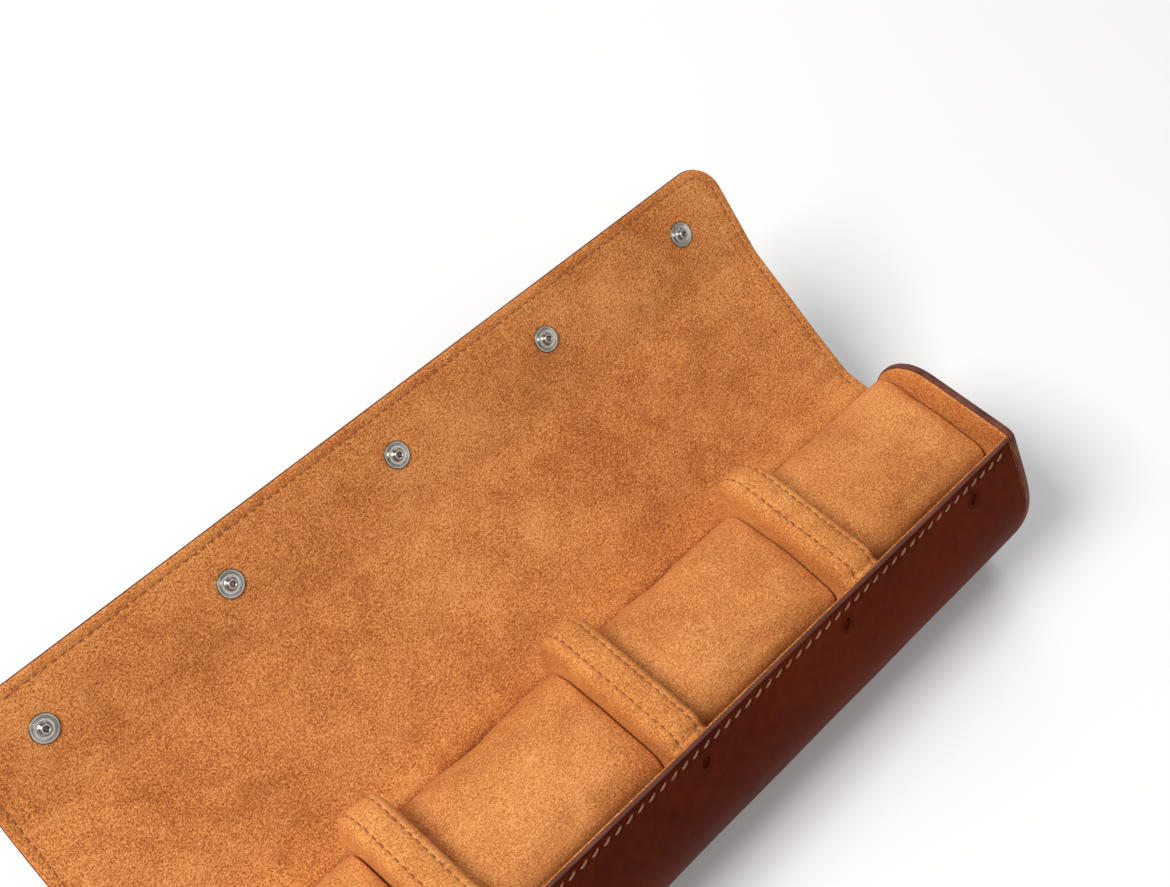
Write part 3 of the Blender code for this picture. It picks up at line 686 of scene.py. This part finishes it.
# ---- dividers: padded, with two sunk rows of stitches --------------------------------------------------
half_rows = [
    (0, -0.22), (1.0, -0.21), (2.0, -0.17), (2.9, -0.08), (3.5, 0.06), (3.85, 0.28), (4.2, 0.5), (4.55, 0.3),
    (4.95, 0.2), (5.5, 0.36), (6.1, 0.72), (6.7, 1.3), (7.2, 2.1), (7.6, 3.1), (7.85, 4.3), (7.9, 5.4)]
side_rows = [
    (7.8, 5.4, 0.05), (7.6, 5.4, 0.12), (7.45, 5.4, 0.2), (7.4, 5.4, 0.34),
    (7.4, 5.4, 0.52), (7.4, 5.4, 0.72), (7.4, 5.4, 0.9)]
for k, which in ((-1, "left"), (0, "middle"), (1, "right")):
    cx = k * DIV_PITCH
    right = [(x, d, 0.0) for x, d in half_rows] + list(side_rows)
    profile = [(-x, d, u) for x, d, u in reversed(right)][:-1] + right
    profile = [(cx + x, d, u) for x, d, u in profile]

    def pucker(v, outline, cx=cx, k=k):
        """Nap and thread pull: dimples at the needle holes and a slow unevenness."""
        s = np.arange(len(outline)) * 0.75
        nor = left(outline, True)
        x = v[..., 0] - cx
        near = np.exp(-((np.abs(x) - DIV_STITCH) / 1.1) ** 2)
        pull = 0.16 * near * (0.5 + 0.5 * np.cos(2 * np.pi * s / DIV_PITCH_ST))[None]
        slow = wobble(v, 0.22, 13.0, k * 5.1) * ease((v[..., 2] - 4) / 10) * np.exp(-(np.abs(x) / 9) ** 4)
        v[..., 1:] += nor[None] * (pull - slow * 0.7)[..., None] * (np.abs(x) < 8.01)[..., None]
        # the rolled edge stands wide only above the cushions
        low = ease((62.5 - v[..., 2]) / 4.0)
        cap = 7.42 + (8.2 - 7.42) * (1 - low)
        x = np.clip(x, -cap, cap) + np.sign(x) * wobble(v, 0.1, 15.0, 9 + k) * (np.abs(x) > 6.5) * 0.6
        v[..., 0] = cx + x
        return v

    ob = pad(f"divider_{which}", div_line, profile, (1.0, 34.0), [SUEDE_PAD], warp=pucker)
    fix_normals(ob)
    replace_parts(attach(ob, "case"), f"divider_cover_{which}")
    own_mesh(ob)
    # rows run from the front corner over the top and down the back edge
    nor = left(div_line, True)
    above = [i for i in range(len(div_line)) if div_line[i, 1] > 46.5 and (div_line[i, 1] > 60 or div_line[i, 0] > 0)]
    run = div_line[above] + nor[above] * 0.30
    run = run[np.argsort(np.arctan2(run[:, 1] - 34, run[:, 0] - 1))]
    places = []
    for side in (-1, 1):
        total = lengths(run)[-1]
        for i in range(int(total / DIV_PITCH_ST)):
            s = (i + 0.5) * DIV_PITCH_ST
            p0, p1 = at(run, max(s - 0.8, 0)), at(run, min(s + 0.8, total))
            d = (p1 - p0) / np.linalg.norm(p1 - p0)
            where = np.array([cx + side * DIV_STITCH, *((p0 + p1) / 2)])
            places.append((where, np.array([0, *d]), np.array([0, d[1], -d[0]])))
    # the thread's dark brown is painted shade of the needle holes
    ob = stitches(f"thread_divider_{which}", places, 2.2, 0.42, 0.4, THREAD_PAD_SHADED, bow=0.2)
    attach(ob, "case")
    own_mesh(ob)


# ---- cushions: inflated cloth over the foam -----------------------------------------------------------
def cushion_outline(d, n=9):
    f, b, lo, hi = PIL_FRONT + d, PIL_BACK + SHOULDER - d, PIL_BOTTOM + d, PIL_TOP - d
    rt, rb, ra = PIL_R_TOP - 6.0, PIL_R_BOTTOM - d * 0.6, 9.0
    foot = b - SHOULDER + 0.8
    t = np.linspace(0, 1, 7)[1:-1]
    crown = np.stack([b - ra + (f + rt - b + ra) * t, hi + 1.2 * np.sin(np.pi * t)], 1)
    rise = [(foot, 33.0), (foot + 0.3, 37.0), (foot + 1.0, 40.5), (b - 0.3, 43.5)]
    return np.concatenate([
        arc((foot - rb, lo + rb), rb, -90, 0, n), rise, arc((b - ra, hi - ra), ra, 0, 90, n), crown,
        arc((f + rt, hi - rt), rt, 90, 180, n), arc((f + rb, lo + rb), rb, 180, 270, n)])


def cushion_mesh(name, half):
    """A pillow of half width half about X = 0: cloth over the foam, blown up a little and set back to its size."""
    line = even(cushion_outline(0.9), 2.0, 1)
    edge = [(0.1, 6.0, 0.5), (0.03, 6.0, 0), (0.0, 2.6, 0), (0.1, 1.1, 0),
            (0.45, 0.42, 0), (1.0, 0.12, 0), (2.2, 0.0, 0), (5.0, 0.0, 0)]
    rows = [(-half + x, d, u) for x, d, u in edge]
    rows += [(x, 0.0, 0) for x in np.linspace(-half + 9, half - 9, 22)] + [(-x, d, u) for x, d, u in reversed(rows)]
    ob = pad(name, line, rows, ((PIL_FRONT + PIL_BACK) / 2, 31.0), [SUEDE_CUSHION])
    fix_normals(ob)
    me = ob.data
    rest = np.zeros(len(me.vertices) * 3)
    me.vertices.foreach_get("co", rest)
    rest = rest.reshape(-1, 3)
    new = rest.copy()
    cloth = ob.modifiers.new("cloth", "CLOTH")
    cloth.settings.use_pressure = True
    cloth.settings.uniform_pressure_force = 4.0
    cloth.settings.effector_weights.gravity = 0
    cloth.settings.quality = 6
    cloth.point_cache.frame_start, cloth.point_cache.frame_end = 1, 20
    for f in range(1, 21):
        bpy.context.scene.frame_set(f)
    dep = bpy.context.evaluated_depsgraph_get()
    got = np.zeros(rest.size)
    ob.evaluated_get(dep).data.vertices.foreach_get("co", got)
    ob.modifiers.clear()
    bpy.context.scene.frame_set(1)
    move = got.reshape(-1, 3) - rest
    move[:, 0] *= 0.1         # the end discs stay flat against the dividers
    size = np.linalg.norm(move, axis=1)
    cap = 0.0012
    new = rest + move * (cap * np.tanh(size / cap) / np.maximum(size, 1e-9))[:, None]
    # back to the foam's size, whatever the pressure did
    lo, hi = np.array([-half, PIL_FRONT, PIL_BOTTOM]) * MM, np.array([half, PIL_BACK + SHOULDER, PIL_TOP + 1.5]) * MM
    a, b = new.min(0), new.max(0)
    new = lo + (new - a) * ((hi - lo) / (b - a))
    me.vertices.foreach_set("co", new.ravel())
    me.update()
    sub = ob.modifiers.new("smooth", "SUBSURF")
    sub.levels = sub.render_levels = 1
    dep = bpy.context.evaluated_depsgraph_get()
    me = bpy.data.meshes.new_from_object(ob.evaluated_get(dep))
    ob.modifiers.clear()
    ob.data = me
    return ob


bays = [(-INNER_X - 0.2, -DIV_PITCH - DIV_HALF), (-DIV_PITCH + DIV_HALF, -DIV_HALF),
        (DIV_HALF, DIV_PITCH - DIV_HALF), (DIV_PITCH + DIV_HALF, INNER_X + 0.2)]
forms = {}
for i, (xa, xb) in enumerate(bays, 1):
    half, mid = (xb - xa) / 2 - PIL_SIDE + 0.3, (xa + xb) / 2
    key = round(half, 2)
    if key not in forms:
        forms[key] = cushion_mesh(f"cushion_form_{i}", half)
    me = forms[key].data.copy()
    co = np.zeros(len(me.vertices) * 3)
    me.vertices.foreach_get("co", co)
    co = co.reshape(-1, 3) / MM
    co[:, 0] += mid
    nor = np.zeros(len(me.vertices) * 3)
    me.vertices.foreach_get("normal", nor)
    nor = nor.reshape(-1, 3)
    x = np.abs(co[:, 0] - mid)
    # seam where the end discs are sewn in, and slow unevenness of the filling
    seam = 0.18 * np.exp(-((x - (half - 2.4)) / 0.6) ** 2)
    co += nor * (wobble(co, 0.4, 21.0, i * 3.7) - seam)[:, None]
    limit = half + 0.08
    co[:, 0] = mid + np.clip(co[:, 0] - mid, -limit, limit)
    co[:, 1] = np.clip(co[:, 1], PIL_FRONT - 0.4, PIL_BACK + SHOULDER + 0.25)
    co[:, 2] = np.maximum(co[:, 2], PIL_BOTTOM - 0.3)
    me.vertices.foreach_set("co", (co * MM).ravel())
    me.materials.clear()
    me.materials.append(SUEDE_CUSHION)
    me.polygons.foreach_set("use_smooth", [True] * len(me.polygons))
    me.update()
    ob = bpy.data.objects.new(f"cushion_{i}_suede", me)
    bpy.context.scene.collection.objects.link(ob)
    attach(ob, f"cushion_{i}")
    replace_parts(ob, f"cushion_{i}_sleeve", f"cushion_{i}_foam", f"cushion_{i}_end_left", f"cushion_{i}_end_right")
for ob in forms.values():
    bpy.data.objects.remove(ob, do_unlink=True)

# ---- flap: one curved sheet of suede on leather, in four sections split at the folds -------------------
tip = math.radians(FLAP_TIP_DEG)
free = np.array([FLAP_CREASE[0] + FLAP_TIP * math.cos(tip), FLAP_CREASE[1] + FLAP_TIP * math.sin(tip)])
start = wall(np.array([END_S]), np.array([2.2]))[0]
before = wall(np.array([END_S - 1.5]), np.array([2.2]))[0]
way = (start - before) / np.linalg.norm(start - before)
corner = start + way * ((FLAP_BEND[1] - start[1]) / way[1])
cad_line = np.array([(HINGE[0], FLAP_BEND[1]), FLAP_BEND, FLAP_CREASE, free])
soft = fillet([start, corner, FLAP_BEND, FLAP_CREASE, free], [3.7, 19.0, 22.0])
soft = at(soft, np.linspace(0, lengths(soft)[-1], 420))
L = lengths(soft)[-1]
S = lengths(soft)
NOR = left(soft)


def near(point):
    return S[np.argmin(np.linalg.norm(soft - np.array(point), axis=1))]


def cad(s):
    return at(cad_line, s)


def place(x, s, d):
    """Points of the flap at x across, s along its lining and d above it."""
    p = np.stack([np.interp(s, S, soft[:, 0]), np.interp(s, S, soft[:, 1])], -1)
    n = np.stack([np.interp(s, S, NOR[:, 0]), np.interp(s, S, NOR[:, 1])], -1)
    p = p + n * np.asarray(d)[..., None]
    return np.concatenate([np.asarray(x)[..., None], p], -1)


rim_cols = np.arange(-HALF_FLAP, -157.5, 0.6)          # closer columns near the two side edges
COLS = np.concatenate([rim_cols, np.linspace(-157.5, 157.5, 280), -rim_cols[::-1]]) / HALF_FLAP
R = TIP_CORNER_R
snap_s = near(cad(np.array(lengths(cad_line)[2] + SNAP_FROM_CREASE)))


def flap_grid(s0, s1, step, inset, tipped):
    """x and s of a section's points, its outline moved in by inset."""
    if tipped:
        rows = np.linspace(s0, L - R, int((L - R - s0) / step) + 1)
        phi = np.radians(np.linspace(0, 90, 25))[1:]
        s = np.concatenate([rows, L - R + (R - inset) * np.sin(phi)])
        hw = np.concatenate([np.full(len(rows), HALF_FLAP - inset), HALF_FLAP - R + (R - inset) * np.cos(phi)])
    else:
        s = np.linspace(s0, s1, max(int((s1 - s0) / step), 4) + 1)
        hw = np.full(len(s), HALF_FLAP - inset)
    return COLS[None] * hw[:, None], np.repeat(s[:, None], len(COLS), 1)


def edge_distance(x, s):
    """How far a point of the flap is inside its outline."""
    ax, e = HALF_FLAP - np.abs(x), L - s
    round_part = R - np.hypot(np.maximum(R - ax, 0), np.maximum(R - e, 0))
    return np.where((ax < R) & (e < R), round_part, np.minimum(ax, e))


def relief(x, s, lining_side=True):
    """Height of the sheet's skin: rolled edge, stitch channel and stud dimples."""
    e = edge_distance(x, s)
    run = np.where(L - s < HALF_FLAP - np.abs(x), x, s)
    hole = 0.5 + 0.5 * np.cos(2 * np.pi * run / FLAP_PITCH)
    h = -(0.20 + 0.10 * hole) * np.exp(-((e - FLAP_STITCH) / 0.6) ** 2)
    h += 0.10 * np.exp(-((e - 2.0) / 0.9) ** 2)
    h -= 0.45 * np.clip(1 - e / 1.1, 0, 1) ** 2
    for k in (-2, -1, 0, 1, 2):
        r = np.hypot(x - k * SNAP_PITCH, s - snap_s)
        h -= 0.30 * np.exp(-(r / 4.9) ** 6) + (0.10 * np.exp(-((r - 5.6) / 1.6) ** 2) if lining_side else 0)
    return h


def waves(x, s):
    """Slow unevenness of the flap, none at its free edge and hinge."""
    return wobble(np.stack([x * 0.55, s, np.zeros_like(x)], -1), 0.34, 26.0, 2.5) * ease((L - s) / 10) * ease((s - 14) / 12)


joins = [near(cad(9.0)), near(cad((D1 + D2) / 2)), near(cad(56.0))]
# each section's name, and from where to where it runs along the flap
PARTS = ("back", "corner", "top", "front")
spans = list(zip([0.0] + joins, joins + [L]))


def bend(ob):
    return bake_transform(ob)


for k, (s0, s1) in enumerate(spans):
    step = (0.9, 1.0, 1.3, 1.1)[k]
    grids = lambda inset: flap_grid(s0, s1, step, inset, k == 3)
    x, s = grids(0.32)
    w = waves(x, s)
    top = place(x, s, relief(x, s) + w)
    bottom = place(x, s, np.full_like(x, -0.86) + w)
    mid = place(*grids(0.2), np.full_like(x, -0.5) + w)
    ob = slab(f"flap_suede_{PARTS[k]}", top, bottom, [mid], [SUEDE_FLAP, SUEDE_FLAP])
    fix_normals(ob)
    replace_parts(bend(ob), f"flap_lining_{PARTS[k]}")
    x, s = grids(0.75)
    under = place(x, s, -FLAP_T - relief(x, s, False) * 0.8 + w)
    x2, s2 = grids(0.3)
    upper = place(x2, s2, np.full_like(x2, -0.9) + w)
    ring = [place(*grids(i), np.full_like(x, d) + w)
            for i, d in ((0.12, -0.92), (0.0, -1.2), (0.0, -1.65), (0.12, -1.95), (0.4, -2.15))]
    ob = slab(f"flap_hide_{PARTS[k]}", upper, under, ring, [HIDE, PAINT])
    fix_normals(ob)
    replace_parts(bend(ob), f"flap_leather_{PARTS[k]}")

# stitch row round the flap, on both faces
rin = R - FLAP_STITCH
s_low = near(cad(5.0))
edge_path = [np.array([-HALF_FLAP + FLAP_STITCH, s]) for s in np.linspace(s_low, L - R, 60)]
edge_path += [np.array([-(HALF_FLAP - R) - rin * math.cos(a), L - R + rin * math.sin(a)])
              for a in np.radians(np.linspace(0, 90, 20))[1:]]
edge_path = np.array(edge_path + [np.array([-p[0], p[1]]) for p in reversed(edge_path)])
total = lengths(edge_path)[-1]
count = round(total / FLAP_PITCH)
# the suede face's thread is darker than the suede as painted shade of its sunk row
for face_name, d, flip, mat, width in (("suede", -0.10, 1, THREAD_FLAP_SHADED, 0.55),
                                       ("hide", -FLAP_T + 0.10, -1, THREAD_WALL, 0.7)):
    groups = [[], [], [], []]
    for i in range(count):
        sp = (i + 0.5) * total / count
        c, a, b = at(edge_path, sp), at(edge_path, sp - 0.7), at(edge_path, sp + 0.7)
        pts = place(np.array([c[0], a[0], b[0]]), np.array([c[1], a[1], b[1]]), np.full(3, d))
        n = np.array([0, np.interp(c[1], S, NOR[:, 0]), np.interp(c[1], S, NOR[:, 1])]) * flip
        k = sum(c[1] > j for j in joins)
        groups[k].append((pts[0], pts[2] - pts[1], n))
    for k, g in enumerate(groups):
        if g:
            ob = stitches(f"thread_flap_{face_name}_{PARTS[k]}", g, 2.55, width, 0.42, mat, bow=0.22)
            bend(ob)

# ---- press studs ----------------------------------------------------------------------------------------
NAMES = ("far_left", "left", "middle", "right", "far_right")
snap_p = cad(np.array(lengths(cad_line)[2] + SNAP_FROM_CREASE))
lining_up = np.array([-math.sin(tip), math.cos(tip)])
# outlines of (radius, height) over the lining, the flap's leather and the wall's leather
STUD = [
    (0, -0.3), (2.2, -0.3), (4.3, -0.25), (4.62, -0.05), (4.72, 0.18), (4.66, 0.4), (4.45, 0.56), (4.15, 0.58),
    (3.8, 0.46), (3.2, 0.28), (2.7, 0.2), (2.3, 0.24), (2.0, 0.42), (1.8, 0.75), (1.68, 1.1), (1.68, 1.45),
    (1.74, 1.75), (1.7, 2.0), (1.5, 2.18), (1.25, 2.22), (1.0, 2.12), (0.85, 1.85), (0.75, 1.5), (0, 1.42)]
# the rim and hollow take the darker nickel as painted shade and painted dark reflection
STUD_DULL_SHADED = (3, 4, 5, 20, 21, 22)      # its outer rim and the hollow in its ball
h0 = -FLAP_T
CAP = [
    (0, h0 - 1.55), (1.6, h0 - 1.52), (3.1, h0 - 1.38), (4.4, h0 - 1.12), (5.4, h0 - 0.76),
    (5.95, h0 - 0.42), (6.15, h0 - 0.12), (6.05, h0 + 0.12), (5.6, h0 + 0.2), (0, h0 + 0.2)]
SOCKET = [
    (1.98, -0.02), (2.06, 0.06), (2.4, 0.09), (2.9, 0.08), (3.3, 0.05), (3.55, 0.0),
    (3.6, -0.12), (3.4, -0.25), (2.3, -0.25), (2.25, -0.95), (2.0, -0.95), (1.95, -0.1)]
for k, which in enumerate(NAMES):
    x = (k - 2) * SNAP_PITCH
    ob = turned(f"stud_{which}", STUD, frame_at(x, snap_p, lining_up), [NICKEL, NICKEL_SHADED], dull_shaded=STUD_DULL_SHADED)
    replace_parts(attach(ob, "flap_front"), f"snap_stud_{which}")
    ob = turned(f"cap_{which}", CAP, frame_at(x, snap_p, lining_up), [NICKEL])
    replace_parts(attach(ob, "flap_front"), f"snap_cap_{which}")
    ob = turned(f"socket_{which}", SOCKET, frame_at(x, wall_p.mean(0), (wall_d[1], -wall_d[0])), [EYELET])
    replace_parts(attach(ob, "case"), f"snap_socket_{which}")

# ---- CAD pieces that stay as they are --------------------------------------------------------------------
for name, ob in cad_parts.items():
    finish = BOARD if name.startswith("board") or "core" in name else FOAM if name.endswith("foam") else None
    if finish is not None:
        for i in range(len(ob.material_slots)):
            ob.material_slots[i].material = finish
        if not ob.material_slots:
            ob.data.materials.append(finish)

# ---- floor, light and camera --------------------------------------------------------------------------------
bpy.ops.mesh.primitive_plane_add(size=6, location=(0, 0, -0.0004))
floor = bpy.context.object
floor.name = "floor"
fm = Mat("floor_pale", Roughness=0.9, Specular_IOR_Level=0.1)
fm.colour(fm.ramp(fm.noise(3, 1), (0.3, (0.90, 0.90, 0.90, 1)), (0.7, (0.92, 0.92, 0.92, 1))))
floor.data.materials.append(fm.m)


def area(name, where, target, size, watts, colour=(1, 1, 1)):
    light = bpy.data.lights.new(name, "AREA")
    light.shape = "RECTANGLE"
    light.size, light.size_y = size
    light.energy = watts
    light.color = colour
    ob = bpy.data.objects.new(name, light)
    bpy.context.scene.collection.objects.link(ob)
    ob.location = where
    ob.rotation_euler = (Vector(target) - Vector(where)).to_track_quat("-Z", "Y").to_euler()
    return ob


area("key", (-0.95, 0.32, 1.25), (0, 0.03, 0.05), (0.75, 0.65), 23.5, (1.0, 0.985, 0.96))
area("fill", (0.3, -1.1, 1.0), (0, 0, 0.05), (1.2, 1.0), 3.0, (0.97, 0.98, 1.0))
area("rim", (0.9, 0.7, 0.9), (0, 0, 0.05), (0.8, 0.8), 3.0)
world = bpy.data.worlds.new("studio")
world.use_nodes = True
world.node_tree.nodes["Background"].inputs["Color"].default_value = (1, 1, 1, 1)
world.node_tree.nodes["Background"].inputs["Strength"].default_value = 0.40
bpy.context.scene.world = world
bpy.context.scene.view_settings.view_transform = "Standard"

cam = bpy.data.cameras.new("camera")
cam.lens, cam.sensor_width = 55.58, 36
cam.clip_start, cam.clip_end = 0.01, 20
eye = bpy.data.objects.new("camera", cam)
bpy.context.scene.collection.objects.link(eye)
azimuth, elevation, roll = math.radians(49.73), math.radians(53.52), math.radians(3.97)
forward = Vector((math.cos(elevation) * math.sin(azimuth), math.cos(elevation) * math.cos(azimuth), -math.sin(elevation)))
level = forward.cross(Vector((0, 0, 1))).normalized()
upright = level.cross(forward)
right = level * math.cos(roll) + upright * math.sin(roll)
top = right.cross(forward)
m = Matrix((right, top, -forward)).transposed().to_4x4()
m.translation = (-0.22355, -0.16161, 0.56606)
eye.matrix_world = m
bpy.context.scene.camera = eye
